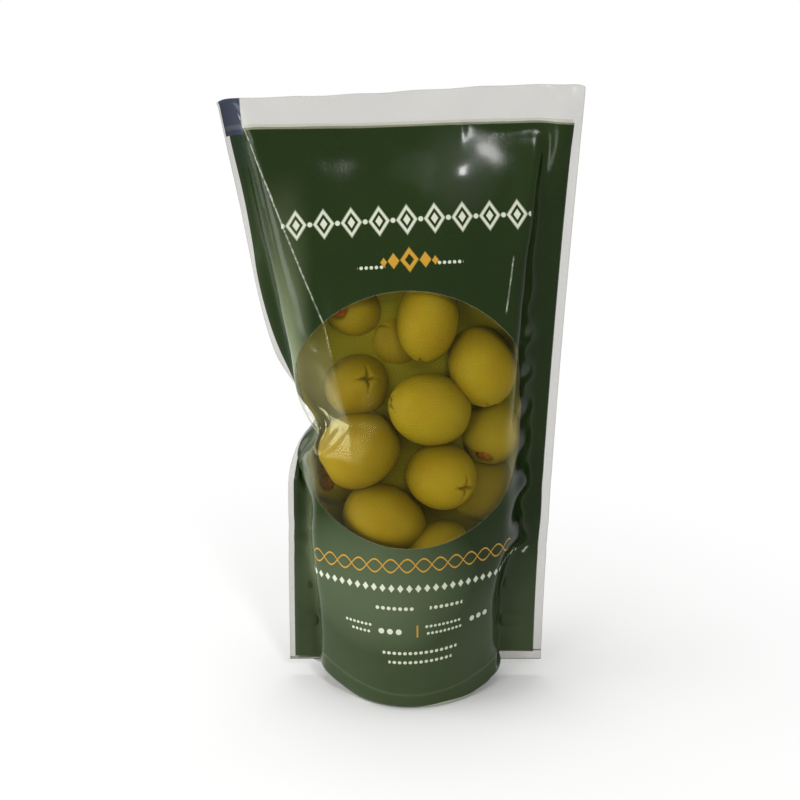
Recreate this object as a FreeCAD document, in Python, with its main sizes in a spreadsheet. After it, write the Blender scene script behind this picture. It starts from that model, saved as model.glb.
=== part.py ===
import FreeCAD, Part

import os

import Sketcher

# A stand-up pouch of stuffed olives in brine: a front and a back panel of printed film, welded to each
# other along both sides and the top, with a folded gusset that opens into the foot it stands on.
# The filled pouch is shut, so it is one solid: the swollen body and the flat welded border round it.
# Frame: +Z up, the front panel faces -Y, and the origin is on the floor under the middle of its width.

# The driving sizes, in millimetres, apart from the powers.
DRIVING_SIZES = (
    ("pouch_width", 120.0),
    ("pouch_height", 209.0),
    ("top_drop", 3.2),  # how far the top edge falls towards the pinched side
    ("side_weld", 8.0),
    ("weld_thickness", 0.5),
    ("border_bottom", 5.0),  # the corners of the border stand this far off the floor
    ("seal_height", 199.0),  # the swollen body closes here, under the top weld
    ("foot_left", 40.5),  # the edges of the border at the floor
    ("foot_right", 51.3),
    ("left_flare_start", 58.0),
    ("left_flare_power", 1.3),
    ("right_flare_power", 1.6),
    ("pinch_height", 99.0),  # the left edge is folded inwards here
    ("pinch_depth", 13.9),
    ("pinch_reach_up", 14.0),
    ("pinch_reach_down", 10.5),
    ("swell", 28.5),  # how far each panel stands off the middle plane at most
    ("least_swell", 0.4),
    ("foot_tuck", 2.8),  # the panels turn in by this much at the floor
    ("tuck_reach", 12.0),
    ("gusset_rim", 4.0),
    ("gusset_rise", 3.0),
    ("gusset_slope", 5.0),
)
LEVELS = 22  # evenly spaced steps of each loft

# Sketcher's names for the points of a line or an arc, and for the sketch's own origin.
ORIGIN, START, END, CENTRE = -1, 1, 2, 3

doc = FreeCAD.newDocument("olive_pouch")
sizes = doc.addObject("Spreadsheet::Sheet", "Sizes")
for row, (alias, value) in enumerate(DRIVING_SIZES, start=1):
    sizes.set(f"A{row}", alias)
    sizes.set(f"B{row}", str(value))
    sizes.setAlias(f"B{row}", alias)
doc.recompute()

body = doc.addObject("PartDesign::Body", "Pouch")
body.Label = "pouch"


def right_edge(height):
    """The right edge of the film at a height: it leans outwards, faster towards the top."""
    share = f"({height}) / Sizes.pouch_height"
    return f"Sizes.foot_right + (Sizes.pouch_width / 2 - Sizes.foot_right) * ({share})^Sizes.right_flare_power"


def left_edge(height):
    """
    The left edge at a height: the same kind of flare, folded inwards by a rounded notch at the pinch.

    The notch is depth / (1 + (distance / reach)^2), with a longer reach above the pinch than below it.
    """
    above = float(sizes.evalExpression(height)) > sizes.pinch_height
    reach = "Sizes.pinch_reach_up" if above else "Sizes.pinch_reach_down"
    room = "(Sizes.pouch_height - Sizes.left_flare_start)"
    share = f"max(({height}) - Sizes.left_flare_start; 0) / {room}"
    flare = f"(Sizes.pouch_width / 2 - Sizes.foot_left) * ({share})^Sizes.left_flare_power"
    notch = f"Sizes.pinch_depth / (1 + ((({height}) - Sizes.pinch_height) / {reach})^2)"
    return f"-(Sizes.foot_left + {flare}) + {notch}"


def panel_swell(height):
    """How far a panel stands off the middle plane: a quarter of a cosine wave, turned in at the foot."""
    wave = f"(Sizes.swell - Sizes.least_swell) * cos(90 deg * ({height}) / Sizes.seal_height)"
    return f"Sizes.least_swell + {wave} - Sizes.foot_tuck * exp(-({height}) / Sizes.tuck_reach)"


def level_sketch(name, height):
    """An empty sketch parallel to the floor, at a height bound to the sheet."""
    floor = next(plane for plane in body.Origin.OriginFeatures if plane.Role == "XY_Plane")
    sketch = body.newObject("Sketcher::SketchObject", name)
    sketch.AttachmentSupport = [(floor, "")]
    sketch.MapMode = "FlatFace"
    sketch.setExpression("AttachmentOffset.Base.z", height)
    return sketch


def bind(sketch, expression, *constraint):
    """Adds a dimension, whose first value is the expression's own, and binds it to the sheet."""
    value = float(sizes.evalExpression(expression))
    index = sketch.addConstraint(Sketcher.Constraint(*constraint, value))
    sketch.setExpression(f"Constraints[{index}]", expression)


def lens(sketch, left, right, swell):
    """
    Two equal arcs that meet in sharp corners at the side welds, one for each panel.

    left, right and swell are expressions. An arc whose chord is c and whose height is s has its centre
    (c * c / 4 - s * s) / (2 * s) behind the chord.
    """
    low, high, rise = (float(sizes.evalExpression(e)) for e in (left, right, swell))
    middle = (low + high) / 2
    corners = FreeCAD.Vector(low, 0, 0), FreeCAD.Vector(high, 0, 0)
    tops = FreeCAD.Vector(middle, -rise, 0), FreeCAD.Vector(middle, rise, 0)
    front = sketch.addGeometry(Part.Arc(corners[0], tops[0], corners[1]), False)
    back = sketch.addGeometry(Part.Arc(corners[1], tops[1], corners[0]), False)
    sketch.addConstraint(Sketcher.Constraint("Coincident", front, END, back, START))
    sketch.addConstraint(Sketcher.Constraint("Coincident", back, END, front, START))
    sketch.addConstraint(Sketcher.Constraint("PointOnObject", front, START, ORIGIN))
    sketch.addConstraint(Sketcher.Constraint("PointOnObject", front, END, ORIGIN))
    bind(sketch, left, "DistanceX", front, START)
    bind(sketch, right, "DistanceX", front, END)
    behind = f"((({right}) - ({left}))^2 / 4 - ({swell})^2) / (2 * ({swell}))"
    bind(sketch, behind, "DistanceY", ORIGIN, START, front, CENTRE)
    bind(sketch, behind, "DistanceY", back, CENTRE, ORIGIN, START)


def strip(sketch, left, right):
    """A rectangle as thin as the weld, centred on the middle plane. left and right are expressions."""
    low, high = (float(sizes.evalExpression(e)) for e in (left, right))
    half = sizes.weld_thickness / 2
    corners = [
        FreeCAD.Vector(x, y, 0) for x, y in ((low, -half), (high, -half), (high, half), (low, half))
    ]
    sides = []
    for start, end in zip(corners, corners[1:] + corners[:1]):
        sides.append(sketch.addGeometry(Part.LineSegment(start, end), False))
    for side, following in zip(sides, sides[1:] + sides[:1]):
        sketch.addConstraint(Sketcher.Constraint("Coincident", side, END, following, START))
    for level, upright in (sides[:2], sides[2:]):
        sketch.addConstraint(Sketcher.Constraint("Horizontal", level))
        sketch.addConstraint(Sketcher.Constraint("Vertical", upright))
    bind(sketch, left, "DistanceX", sides[0], START)
    bind(sketch, right, "DistanceX", sides[0], END)
    bind(sketch, "-Sizes.weld_thickness / 2", "DistanceY", sides[0], START)
    bind(sketch, "Sizes.weld_thickness / 2", "DistanceY", sides[2], START)


def loft(kind, name, sketches):
    """A smooth loft through the sketches, added to or cut from the body."""
    doc.recompute()
    feature = body.newObject(f"PartDesign::{kind}", name)
    feature.Profile = sketches[0]
    feature.Sections = sketches[1:]
    doc.recompute()
    return feature


def swollen_body():
    """The filled body: a lens at each level, inside the side welds."""
    sketches = []
    for step in range(LEVELS + 1):
        height = f"Sizes.seal_height * {step} / {LEVELS}"
        sketch = level_sketch(f"Body_{step}", height)
        left, right = f"{left_edge(height)} + Sizes.side_weld", f"{right_edge(height)} - Sizes.side_weld"
        lens(sketch, left, right, panel_swell(height))
        sketches.append(sketch)
    return loft("AdditiveLoft", "Swollen_body", sketches)


def welded_border():
    """
    The flat border: a thin strip at each level, from a little above the floor to the top edge.

    The last strip is tilted, because the top edge drops towards the pinched side.
    """
    sketches = []
    tilt = "atan(Sizes.top_drop / Sizes.pouch_width)"
    top = "(Sizes.pouch_height - Sizes.top_drop / 2)"
    for step in range(LEVELS + 1):
        height = f"Sizes.border_bottom + ({top} - Sizes.border_bottom) * {step} / {LEVELS}"
        sketch = level_sketch(f"Border_{step}", height)
        last = step == LEVELS
        left = f"-Sizes.pouch_width / 2 / cos({tilt})" if last else left_edge(height)
        right = f"Sizes.pouch_width / 2 / cos({tilt})" if last else right_edge(height)
        strip(sketch, left, right)
        sketches.append(sketch)
    sketches[-1].setExpression("AttachmentOffset.Rotation.Axis.x", "0")
    sketches[-1].setExpression("AttachmentOffset.Rotation.Axis.y", "-1")
    sketches[-1].setExpression("AttachmentOffset.Rotation.Axis.z", "0")
    sketches[-1].setExpression("AttachmentOffset.Rotation.Angle", tilt)
    return loft("AdditiveLoft", "Welded_border", sketches)


def gusset_hollow():
    """The underside: the gusset's film stands in from the rim of the foot and rises a little."""
    rim = level_sketch("Gusset_rim", "0")
    roof = level_sketch("Gusset_roof", "Sizes.gusset_rise")
    insets = "Sizes.gusset_rim", "(Sizes.gusset_rim + Sizes.gusset_slope)"
    for sketch, inset in zip((rim, roof), insets):
        left = f"-Sizes.foot_left + Sizes.side_weld + 2 * {inset}"
        right = f"Sizes.foot_right - Sizes.side_weld - 2 * {inset}"
        lens(sketch, left, right, f"Sizes.swell - Sizes.foot_tuck - {inset}")
    return loft("SubtractiveLoft", "Gusset_hollow", [rim, roof])


swollen_body()
welded_border()
whole = body.Shape.Volume
gusset_hollow()

for item in doc.Objects:
    if {"Invalid", "Error"} & set(item.State):
        raise RuntimeError(f"{item.Label} failed: {item.State}")
if body.Shape.isNull() or not body.Shape.isValid() or len(body.Shape.Solids) != 1:
    raise RuntimeError("the pouch isn't one valid solid")
if not body.Shape.Volume < whole:
    raise RuntimeError("the gusset's hollow cut nothing")

os.makedirs("parts", exist_ok=True)
body.Shape.exportStep(os.path.join("parts", f"{body.Label}.step"))
bounds = body.Shape.BoundBox
print(f"volume {body.Shape.Volume / 1000:.1f} ml, x {bounds.XMin:.2f} to {bounds.XMax:.2f},")
print(f"y {bounds.YMin:.2f} to {bounds.YMax:.2f}, z {bounds.ZMin:.2f} to {bounds.ZMax:.2f} mm")
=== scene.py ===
# %% [markdown]
# # A stand-up pouch of stuffed olives
# The real thing is a bag of clear film, printed green on its inner face, with a round clear window. It
# holds stuffed green olives in cloudy brine and stands on a folded foot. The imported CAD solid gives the
# size and the place, and every piece made here replaces it or lies inside it. All of this script's own
# sizes are in millimetres, and turn into Blender's metres only where a mesh is made.

import bmesh
import bpy
import numpy as np
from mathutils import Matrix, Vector


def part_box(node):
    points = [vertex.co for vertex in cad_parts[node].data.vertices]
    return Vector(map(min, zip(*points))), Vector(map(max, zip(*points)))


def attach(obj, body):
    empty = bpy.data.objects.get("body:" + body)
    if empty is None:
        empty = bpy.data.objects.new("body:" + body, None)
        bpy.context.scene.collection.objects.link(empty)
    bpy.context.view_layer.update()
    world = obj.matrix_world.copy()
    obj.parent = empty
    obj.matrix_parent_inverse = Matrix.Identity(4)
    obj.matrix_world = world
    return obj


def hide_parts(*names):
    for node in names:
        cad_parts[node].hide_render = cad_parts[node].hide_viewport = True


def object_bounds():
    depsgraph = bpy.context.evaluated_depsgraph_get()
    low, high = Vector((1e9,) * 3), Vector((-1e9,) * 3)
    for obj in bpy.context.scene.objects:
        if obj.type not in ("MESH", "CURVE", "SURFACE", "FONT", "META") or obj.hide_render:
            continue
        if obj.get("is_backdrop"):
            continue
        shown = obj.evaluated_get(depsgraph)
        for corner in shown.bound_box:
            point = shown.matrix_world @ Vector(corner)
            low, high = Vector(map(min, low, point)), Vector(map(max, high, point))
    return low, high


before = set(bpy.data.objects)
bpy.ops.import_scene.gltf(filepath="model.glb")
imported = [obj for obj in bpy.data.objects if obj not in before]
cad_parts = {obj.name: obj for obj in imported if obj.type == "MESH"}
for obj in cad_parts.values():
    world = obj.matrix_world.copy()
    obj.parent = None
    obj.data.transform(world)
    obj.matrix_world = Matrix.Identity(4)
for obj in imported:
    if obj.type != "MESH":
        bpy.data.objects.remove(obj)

MM = 0.001
cad_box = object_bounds()
low, high = (np.array(corner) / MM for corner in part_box("pouch"))
WIDTH, HEIGHT = high[0] - low[0], high[2] - low[2]
print("the pouch is", round(WIDTH, 1), "by", round(HEIGHT, 1), "mm")

# %% [markdown]
# ## The outline of the filled pouch
# A pouch is made flat. Filling it draws its sides in, so the film, which can't stretch, bulges instead.
# Three things fix its shape: how wide it is at each height, the notch where the left weld has buckled,
# and the rim of the foot. They are written as formulas, because the film is relaxed against them below.

# %% The sides, the top and the foot
SIDE_WELD, TOP_WELD = 8.0, 10.0
FLAT_HEIGHT = HEIGHT + 4.0  # the film is longer than the pouch is high, because it bulges
FOOT_LEFT, FOOT_RIGHT = 40.5, 51.6
STRAIGHT = 58  # the left side is upright to this height
PINCH_HEIGHT, PINCH_DEPTH = 97.3, 14.6
FLAT_LEFT, FLAT_RIGHT, FOOT_LIFT = 16.0, 16.5, 5.6  # the side welds stay flat and clear of the floor
FLAP_RUN = 0.97  # each millimetre of a flat side weld takes up this much of the width
ARC_START, ARC_END = FLAT_LEFT / FLAP_RUN - WIDTH / 2, WIDTH / 2 - FLAT_RIGHT / FLAP_RUN


def right_side(z):
    """How far right the film reaches at a height: from the foot it leans out with the power 1.6."""
    return FOOT_RIGHT + (WIDTH / 2 - FOOT_RIGHT) * np.clip(z / HEIGHT, 0, 1) ** 1.6


def left_side(z):
    """
    How far left the film reaches at a height.

    It goes straight up at first and then flares with the power 1.3. The notch takes depth / (1 +
    (distance / reach)^2) off it, with a longer reach above the pinch than below.
    """
    flare = (WIDTH / 2 - FOOT_LEFT) * (np.clip(z - STRAIGHT, 0, None) / (HEIGHT - STRAIGHT)) ** 1.3
    reach = np.where(z > PINCH_HEIGHT, 13.0, 9.5)
    return FOOT_LEFT + flare - PINCH_DEPTH / (1 + ((z - PINCH_HEIGHT) / reach) ** 2)


def foot_rim(u):
    """
    The foot's front edge, where u is the place across the flat film.

    Between the side welds it is an arc as long as the film there, slightly flattened. The arc's half
    angle a solves sin(a) / a = half chord / half length. The welds go on straight, and a smooth step
    lifts them off the floor.
    """
    left, right = FLAT_LEFT - FOOT_LEFT, FOOT_RIGHT - FLAT_RIGHT
    half, from_middle = (ARC_END - ARC_START) / 2, u - (ARC_START + ARC_END) / 2
    angles = np.linspace(0.5, 1.6, 4000)
    angle = angles[np.argmin(np.abs(np.sin(angles) / angles - (right - left) / 2 / half))]
    radius, along = half / angle, np.clip(from_middle / half, -1, 1) * angle
    past = np.sign(from_middle) * np.clip(np.abs(from_middle) - half, 0, None) * FLAP_RUN
    x = (left + right) / 2 + radius * np.sin(along) + past
    y = -0.95 * radius * (np.cos(along) - np.cos(angle))
    step = np.clip((np.abs(from_middle) - 18) / 20, 0, 1)
    return np.stack([x, y, FOOT_LIFT * step**2 * (3 - 2 * step)])


def top_edge(u):
    """The top edge: it rises to the right by 4%, with a hump, small waves and two rounded corners."""
    hump = 0.9 * np.exp(-(((u - 32) / 22) ** 2))
    corner = 0.09 * np.clip(np.abs(u) - 56, 0, None) ** 2
    z = HEIGHT - 0.2 + 0.04 * u + hump - corner + 0.15 * np.sin(u / 3.1)
    return np.stack([u * 1.0, 0.9 * np.sin(u / 9.0 + 1.0) + 0.5 * np.sin(u / 4.3), z])


def weld_turn(z):
    """How far the left weld is folded back, in radians: nearly 70 degrees at the pinch, 30 above it."""
    return 1.1 * np.exp(-(((z - PINCH_HEIGHT - 2) / 15) ** 4)) + 0.5 * np.exp(-(((z - 145) / 40) ** 4))


# %% [markdown]
# ## How the contents fill it
# The brine and olives hold the middle of each panel out, and leave its sides to fold as they like. So
# the middle is held near a depth that falls from the belly to the top weld, between two shoulders. The
# left shoulder is the long crease that runs from the top corner down to the pinch.

# %% Depth and shoulders
DEPTH_HEIGHTS = (0, 25, 50, 75, 100, 125, 148, 168, 185, 199)
DEPTHS = (27.0, 29.0, 29.0, 27.5, 23.5, 18.5, 13.5, 8.5, 4.2, 0.5)
CROWN_HEIGHTS, CROWNS = (0, 60, 100, 150), (0.7, 0.45, 0.22, 0.15)
SHOULDER_HEIGHTS = (0, 34, 60, 91, 102, 112, 140, 205)
LEFT_SHOULDERS = (-28, -29, -30, -28, -18, -22, -27, -50), (-28, -29, -30, -27, -19, -22, -28, -46)
RIGHT_SHOULDERS = (34, 33, 36, 36, 36, 36, 39, 47)
HOLLOW, SWELLING = ((-10, 187), (13, 9)), ((17, 182), (12, 10))  # the middle and the reach of each


def hill(x, z, middle, reach):
    """A smooth hill: exp(-(distance across / reach across)^2 - (distance up / reach up)^2)."""
    return np.exp(-(((x - middle[0]) / reach[0]) ** 2) - ((z - middle[1]) / reach[1]) ** 2)


def held_depth(x, z, panel):
    """
    The depth that the contents give a panel, and how firmly, from 0 to 1.

    The depth falls by the crown times the square of the distance from the middle of the shoulders. The
    front also has a hollow under the top weld, left of the middle, and a swelling to the right of it.
    """
    left = np.interp(z, SHOULDER_HEIGHTS, LEFT_SHOULDERS[panel])
    right = np.interp(z, SHOULDER_HEIGHTS, RIGHT_SHOULDERS)
    t = (2 * x - left - right) / (right - left)
    firm = np.clip((1.02 - np.abs(t)) / 0.15, 0, 1) * (z < 194)
    depth = np.interp(z, DEPTH_HEIGHTS, DEPTHS) * (1 - np.interp(z, CROWN_HEIGHTS, CROWNS) * t**2)
    if panel == 0:
        depth = depth - 2.6 * hill(x, z, *HOLLOW)
        depth = depth + 3.2 * hill(x, z, *SWELLING)
    return depth, firm


# %% [markdown]
# ## Relaxing the film
# Creases are what make film look like film, and they can't be drawn convincingly by hand. So both
# panels are grids of points that start near their places and are moved, again and again, by a few small
# rules: every link between neighbours goes back to its flat length, the surface unbends a little, the
# welds stay together, the sides follow the outline, and the contents hold the middle. What is left over
# has to fold, and it folds like the real film. The grid is coarse first and fine afterwards.

# %% Resampling a grid
def hat_weights(new, old):
    """A matrix that takes old evenly spaced samples to new ones: each weight is 1 less the distance."""
    place = np.linspace(0, old - 1, new)[:, None]
    return np.clip(1 - np.abs(place - np.arange(old)), 0, 1)


def resample(grid, rows, columns):
    """Brings the last two axes of an array to rows by columns, by straight interpolation."""
    down, across = hat_weights(rows, grid.shape[-2]), hat_weights(columns, grid.shape[-1])
    return np.einsum("rj,...ji,ci->...rc", down, grid, across, optimize=True)


# %% One small step of the relaxation
def flat_grid(rows, columns):
    """The flat film: u across from side to side and v up from the foot, both in millimetres."""
    return np.meshgrid(np.linspace(-WIDTH / 2, WIDTH / 2, columns), np.linspace(0, FLAT_HEIGHT, rows))


def outward(film):
    """Unit normals of both panels, from central differences, pointing out of the pouch."""
    across, up = np.gradient(film, axis=3), np.gradient(film, axis=2)
    normal = np.cross(across, up, axis=0)
    normal[:, 1] *= -1
    return normal / np.sqrt((normal**2).sum(0) + 1e-9)


def bend_out(film, stiffness):
    """Takes the share called stiffness of the Laplacian's own Laplacian off each inner point."""
    curl = film
    for _ in range(2):
        inner = np.zeros_like(film)
        inner[..., 1:-1, 1:-1] = (
            curl[..., 2:, 1:-1] + curl[..., :-2, 1:-1] + curl[..., 1:-1, 2:] + curl[..., 1:-1, :-2]
        ) - 4 * curl[..., 1:-1, 1:-1]
        curl = inner
    film -= stiffness * curl


def link_ends(rows, columns, du, dv):
    """Pairs of slices that join each point to its neighbours, so that no slice holds a point twice."""
    ends = []
    for odd in (0, 1):
        lower, upper = slice(odd, rows - 1, 2), slice(odd + 1, rows, 2)
        left, right = slice(odd, columns - 1, 2), slice(odd + 1, columns, 2)
        ends.append(((..., left), (..., right), du))
        ends.append(((..., lower, slice(None)), (..., upper, slice(None)), dv))
        ends.append(((..., lower, slice(0, -1)), (..., upper, slice(1, None)), np.hypot(du, dv)))
        ends.append(((..., lower, slice(1, None)), (..., upper, slice(0, -1)), np.hypot(du, dv)))
    return ends


def restore(film, first, second, rest):
    """Moves both ends of every link by half of what it is too long or too short."""
    gap = film[second] - film[first]
    gap *= 0.5 * (1 - rest / np.maximum(np.sqrt((gap**2).sum(0)), 1e-6))
    film[first] += gap
    film[second] -= gap


PANEL_GAP = 0.15  # the least room between the panels, outside the welds
ROUNDING = 0.01  # keeps points that lie on a weld's own edge inside it
FLAP_TOP, FLAP_FADE = 48, 26  # how far up the welds beside the foot lie flat, and how soon that ends


def hold(film, u, v, guide, pull):
    """
    Puts contents, welds, sides, foot, top and floor back where they belong.

    The two panels meet in the welds, and are kept from passing through each other elsewhere. The welds
    beside the foot are drawn towards the middle plane, all the way at the bottom and less further up.
    """
    for panel, out in enumerate((-1, 1)):
        x, y, z = film[:, panel]
        depth, firm = held_depth(x, z, panel)
        y += pull * firm * (out * depth - y)
    welded = (np.abs(u) > WIDTH / 2 - SIDE_WELD - ROUNDING) | (v > FLAT_HEIGHT - TOP_WELD - ROUNDING)
    film[:, :, welded] = film[:, :, welded].mean(1, keepdims=True)
    overlap = np.clip(PANEL_GAP - film[1, 1] + film[1, 0], 0, None) / 2 * ~welded
    film[1, 0] -= overlap
    film[1, 1] += overlap
    left, right, turn = -left_side(film[2]), right_side(film[2]), weld_turn(film[2, 0, :, 0])
    film[0, :, :, 0] += guide * (left[0, :, 0] - film[0, 0, :, 0])
    film[0, :, :, -1] += guide * (right[0, :, -1] - film[0, 0, :, -1])
    share = guide * (0.02 + 0.3 * np.sin(turn))
    film[1, :, :, 0] += share * (SIDE_WELD * np.sin(turn) - film[1, 0, :, 0])
    film[1, :, :, -1] *= 1 - 0.02 * guide
    flap = (u < ARC_START) | (u > ARC_END)
    film[1] *= 1 - 0.15 * flap * np.clip((FLAP_TOP - v) / FLAP_FADE, 0, 1)
    film[0] = np.clip(film[0], left, right)
    film[:, 0, 0] = foot_rim(u[0])
    film[:, 1, 0] = foot_rim(u[0]) * np.array([[1], [-1], [1]])
    film[:, :, -1] = top_edge(u[-1])[:, None]
    np.maximum(film[2], 0, out=film[2])


# %% Relax both panels
SQUEEZE = -0.6  # the bag is slack: the air outside pushes its sides in
PULL = 0.1  # the share of the way to its depth that the contents move a point
DENT = (-31, 105), (9, 6.5)  # its middle and its reach
COARSE, FINE = (72, 41), (143, 81)  # rows and columns of the grid
MIDDLE_COLUMN = FINE[1] // 2


def load_on(film, u, v):
    """
    Pressure at each point: the brine's, falling with height, the slack's, and two places' own.

    These are the side facet at the upper left, which a little air keeps out, and the dent beside the
    pinch, where nothing backs the film.
    """
    brine = np.clip((HEIGHT + 6 - film[2]) / (HEIGHT + 6), 0, 1)
    facet = 0.5 * np.clip((-u - 18) / 10, 0, 1) * np.clip((v - 108) / 12, 0, 1)
    return SQUEEZE + brine + facet - 4.5 * hill(u, v, *DENT)


def relax(film, u, v, steps, pressure, stiffness=0.01, inner=6, damping=0.92):
    """Repeats: drift on with damping, push along the normals, then restore and hold inner times."""
    rows, columns = u.shape
    links = link_ends(rows, columns, u[0, 1] - u[0, 0], v[1, 0] - v[0, 0])
    before = film.copy()
    for step in range(steps):
        drift = (film - before) * damping
        before = film.copy()
        film += drift + pressure * load_on(film, u, v) * outward(film)
        for _ in range(inner):
            bend_out(film, stiffness)
            for first, second, rest in links:
                restore(film, first, second, rest)
            hold(film, u, v, guide=0.6 * min(1.0, (step + 1) / 100), pull=PULL)
    return film


def first_guess(u, v):
    """Straight lines from the foot's rim to the top edge, drawn in at the sides and bulging between."""
    z = v * HEIGHT / FLAT_HEIGHT
    rim = foot_rim(u[0])[:, None]
    blend = np.clip(v / 40, 0, 1)
    across = (u / WIDTH + 0.5) * (right_side(z) + left_side(z)) - left_side(z)
    x = blend * across + (1 - blend) * rim[0]
    y = rim[1] * np.cos(np.pi / 2 * np.clip(v / (FLAT_HEIGHT - TOP_WELD), 0, 1))
    z = z + (1 - v / FLAT_HEIGHT) * rim[2]
    return np.stack([np.stack([x, x]), np.stack([y, -y]), np.stack([z, z])])


random = np.random.default_rng(5)
u, v = flat_grid(*COARSE)
film = first_guess(u, v).astype(np.float32)
film[1] += resample(random.normal(0, 0.5, (2, 15, 9)), *COARSE)
film = relax(film, u, v, steps=300, pressure=0.04)
u, v = flat_grid(*FINE)
film = resample(film, *FINE).astype(np.float32)
film = relax(film, u, v, steps=120, pressure=0.02, inner=8)
print("the front panel stands", -film[1, 0, :, MIDDLE_COLUMN].min().round(1), "mm off the middle plane")

# %% [markdown]
# ## Scallops and crumples
# A heat weld shrinks the film a little, so it gathers into scallops beside the weld. Handling adds fine
# crumples all over. Both are smaller than the relaxed grid can find for itself, so they are added to it
# as a wave and as smooth noise, along the film's own normals.

# %% Scallops along the welds, a pleat, and fine crumples
SCALLOP = 15.0  # their spacing
PLEAT, TAUT = ((19, 203), (1.5, 6)), ((14, 187), (17, 12))  # the middle and the reach of each
CRUMPLE_SIDE, CRUMPLE_TOP = 51, FLAT_HEIGHT - 13  # the welds are pressed flat


def scallops(u, v):
    """
    A cosine wave along each weld's inner edge, in a Gaussian strip across it.

    Its spacing and height wander slowly. It fades out towards the foot, and above 172 mm at the right
    and 85 mm at the left.
    """
    wave = np.cos(2 * np.pi * v / SCALLOP + 1.5 * np.sin(v / 17)) * (0.75 + 0.25 * np.sin(v / 9))
    right = 1.0 * np.exp(-(((u - 46) / 4.5) ** 2)) * np.clip((172 - v) / 25, 0, 1)
    left = 0.7 * np.exp(-(((u + 48) / 4.0) ** 2)) * np.clip((85 - v) / 15, 0, 1)
    return wave * (right + left) * np.clip((v - 8) / 10, 0, 1)


film[1, 0] -= (0.9 * hill(u, v, *PLEAT)).astype(np.float32)
crumples = resample(random.normal(0, 0.09, (2, 31, 18)), *FINE)
crumples = crumples * (np.abs(u) < CRUMPLE_SIDE) * (v < CRUMPLE_TOP)
crumples *= 1 - 0.85 * hill(u, v, *TAUT)  # the film is taut over the swelling
film += (scallops(u, v) + crumples * np.clip(v / 8, 0, 1)).astype(np.float32) * outward(film)
print("the highest crumple is", np.abs(crumples).max().round(2), "mm")

# %% [markdown]
# ## Making meshes
# Every piece here is a grid of points worked out as whole arrays. One helper turns a grid into faces, and
# one turns points and faces into a Blender object with smooth shading, which rides on the pouch's body.

# %% Mesh helpers
def squares(index):
    """The squares between the neighbours in a table of point numbers."""
    corners = index[:-1, :-1], index[:-1, 1:], index[1:, 1:], index[1:, :-1]
    return np.stack(corners, -1).reshape(-1, 4)


def ring_faces(rows, columns):
    """The squares of a grid of points whose every row closes into a ring."""
    index = np.arange(rows * columns).reshape(rows, columns)
    return squares(np.hstack([index, index[:, :1]]))


def show(name, data):
    """Puts a mesh, lamp or camera into the scene as an object of its own."""
    shown = bpy.data.objects.new(name, data)
    bpy.context.scene.collection.objects.link(shown)
    return shown


def make_piece(name, points, faces):
    """A smooth mesh object from points in millimetres, which rides on the pouch's body."""
    mesh = bpy.data.meshes.new(name)
    mesh.from_pydata((points * MM).tolist(), [], [face.tolist() for face in faces])
    mesh.polygons.foreach_set("use_smooth", np.ones(len(mesh.polygons), bool))
    mesh.update()
    piece = show(name, mesh)
    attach(piece, "root")
    print(name, "has", len(mesh.polygons), "faces")
    return piece


def close_poles(piece):
    """Merges the points of each ring that has shrunk to one place, and turns faces outwards."""
    work = bmesh.new()
    work.from_mesh(piece.data)
    bmesh.ops.remove_doubles(work, verts=work.verts, dist=1e-7)
    bmesh.ops.recalc_face_normals(work, faces=work.faces)
    work.to_mesh(piece.data)
    work.free()


def set_attribute(piece, name, values):
    """One number for each of the piece's points, for its material to read."""
    layer = piece.data.attributes.new(name, "FLOAT", "POINT")
    layer.data.foreach_set("value", np.asarray(values, np.float32).ravel())


# %% [markdown]
# ## The bag
# On the real pouch a front panel, a back panel and a gusset are welded into one bag, so this is one
# closed mesh. The two panels share the points of their outer edges, and stand half a film's thickness
# off each other inside them. The gusset runs from the front rim to the back rim and arches up a little.

# %% Points and faces of the bag
FILM_HALF = 0.09  # half the film's thickness, a little more than the real one's
GUSSET_ROWS, GUSSET_RISE = 15, 6.0
EDGE = 0.1  # a point nearer than this to the film's edge is on it

rows, columns = FINE
on_edge = (np.abs(u) > WIDTH / 2 - EDGE) | (v > FLAT_HEIGHT - EDGE)
film = film + FILM_HALF * outward(film) * (~on_edge & (v > EDGE))
front, back = (film[:, panel].reshape(3, -1).T for panel in (0, 1))
share = np.linspace(0, 1, GUSSET_ROWS + 2)[1:-1, None]
fold = np.sin(np.pi * share) ** 0.7 - 0.35 * np.exp(-(((share - 0.5) / 0.06) ** 2))
rim_front, rim_back = film[:, 0, 0], film[:, 1, 0]
arch = np.clip((rim_back[1] - rim_front[1]) / 50, 0, 1) * GUSSET_RISE
gusset = rim_front[:, None] * (1 - share) + rim_back[:, None] * share
gusset[2] += fold * arch

number = np.arange(rows * columns).reshape(rows, columns)
back_number = np.where(on_edge, number, number + rows * columns)
under = 2 * rows * columns + np.arange(GUSSET_ROWS * columns).reshape(GUSSET_ROWS, columns)
under = np.vstack([number[:1], under, back_number[:1]])
under[:, 0], under[:, -1] = number[0, 0], number[0, -1]
faces = [squares(number), squares(back_number)[:, ::-1], squares(under)[:, ::-1]]
which = np.repeat([0, 1, 2], [len(part) for part in faces])
points = np.vstack([front, back, gusset.reshape(3, -1).T])

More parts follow.
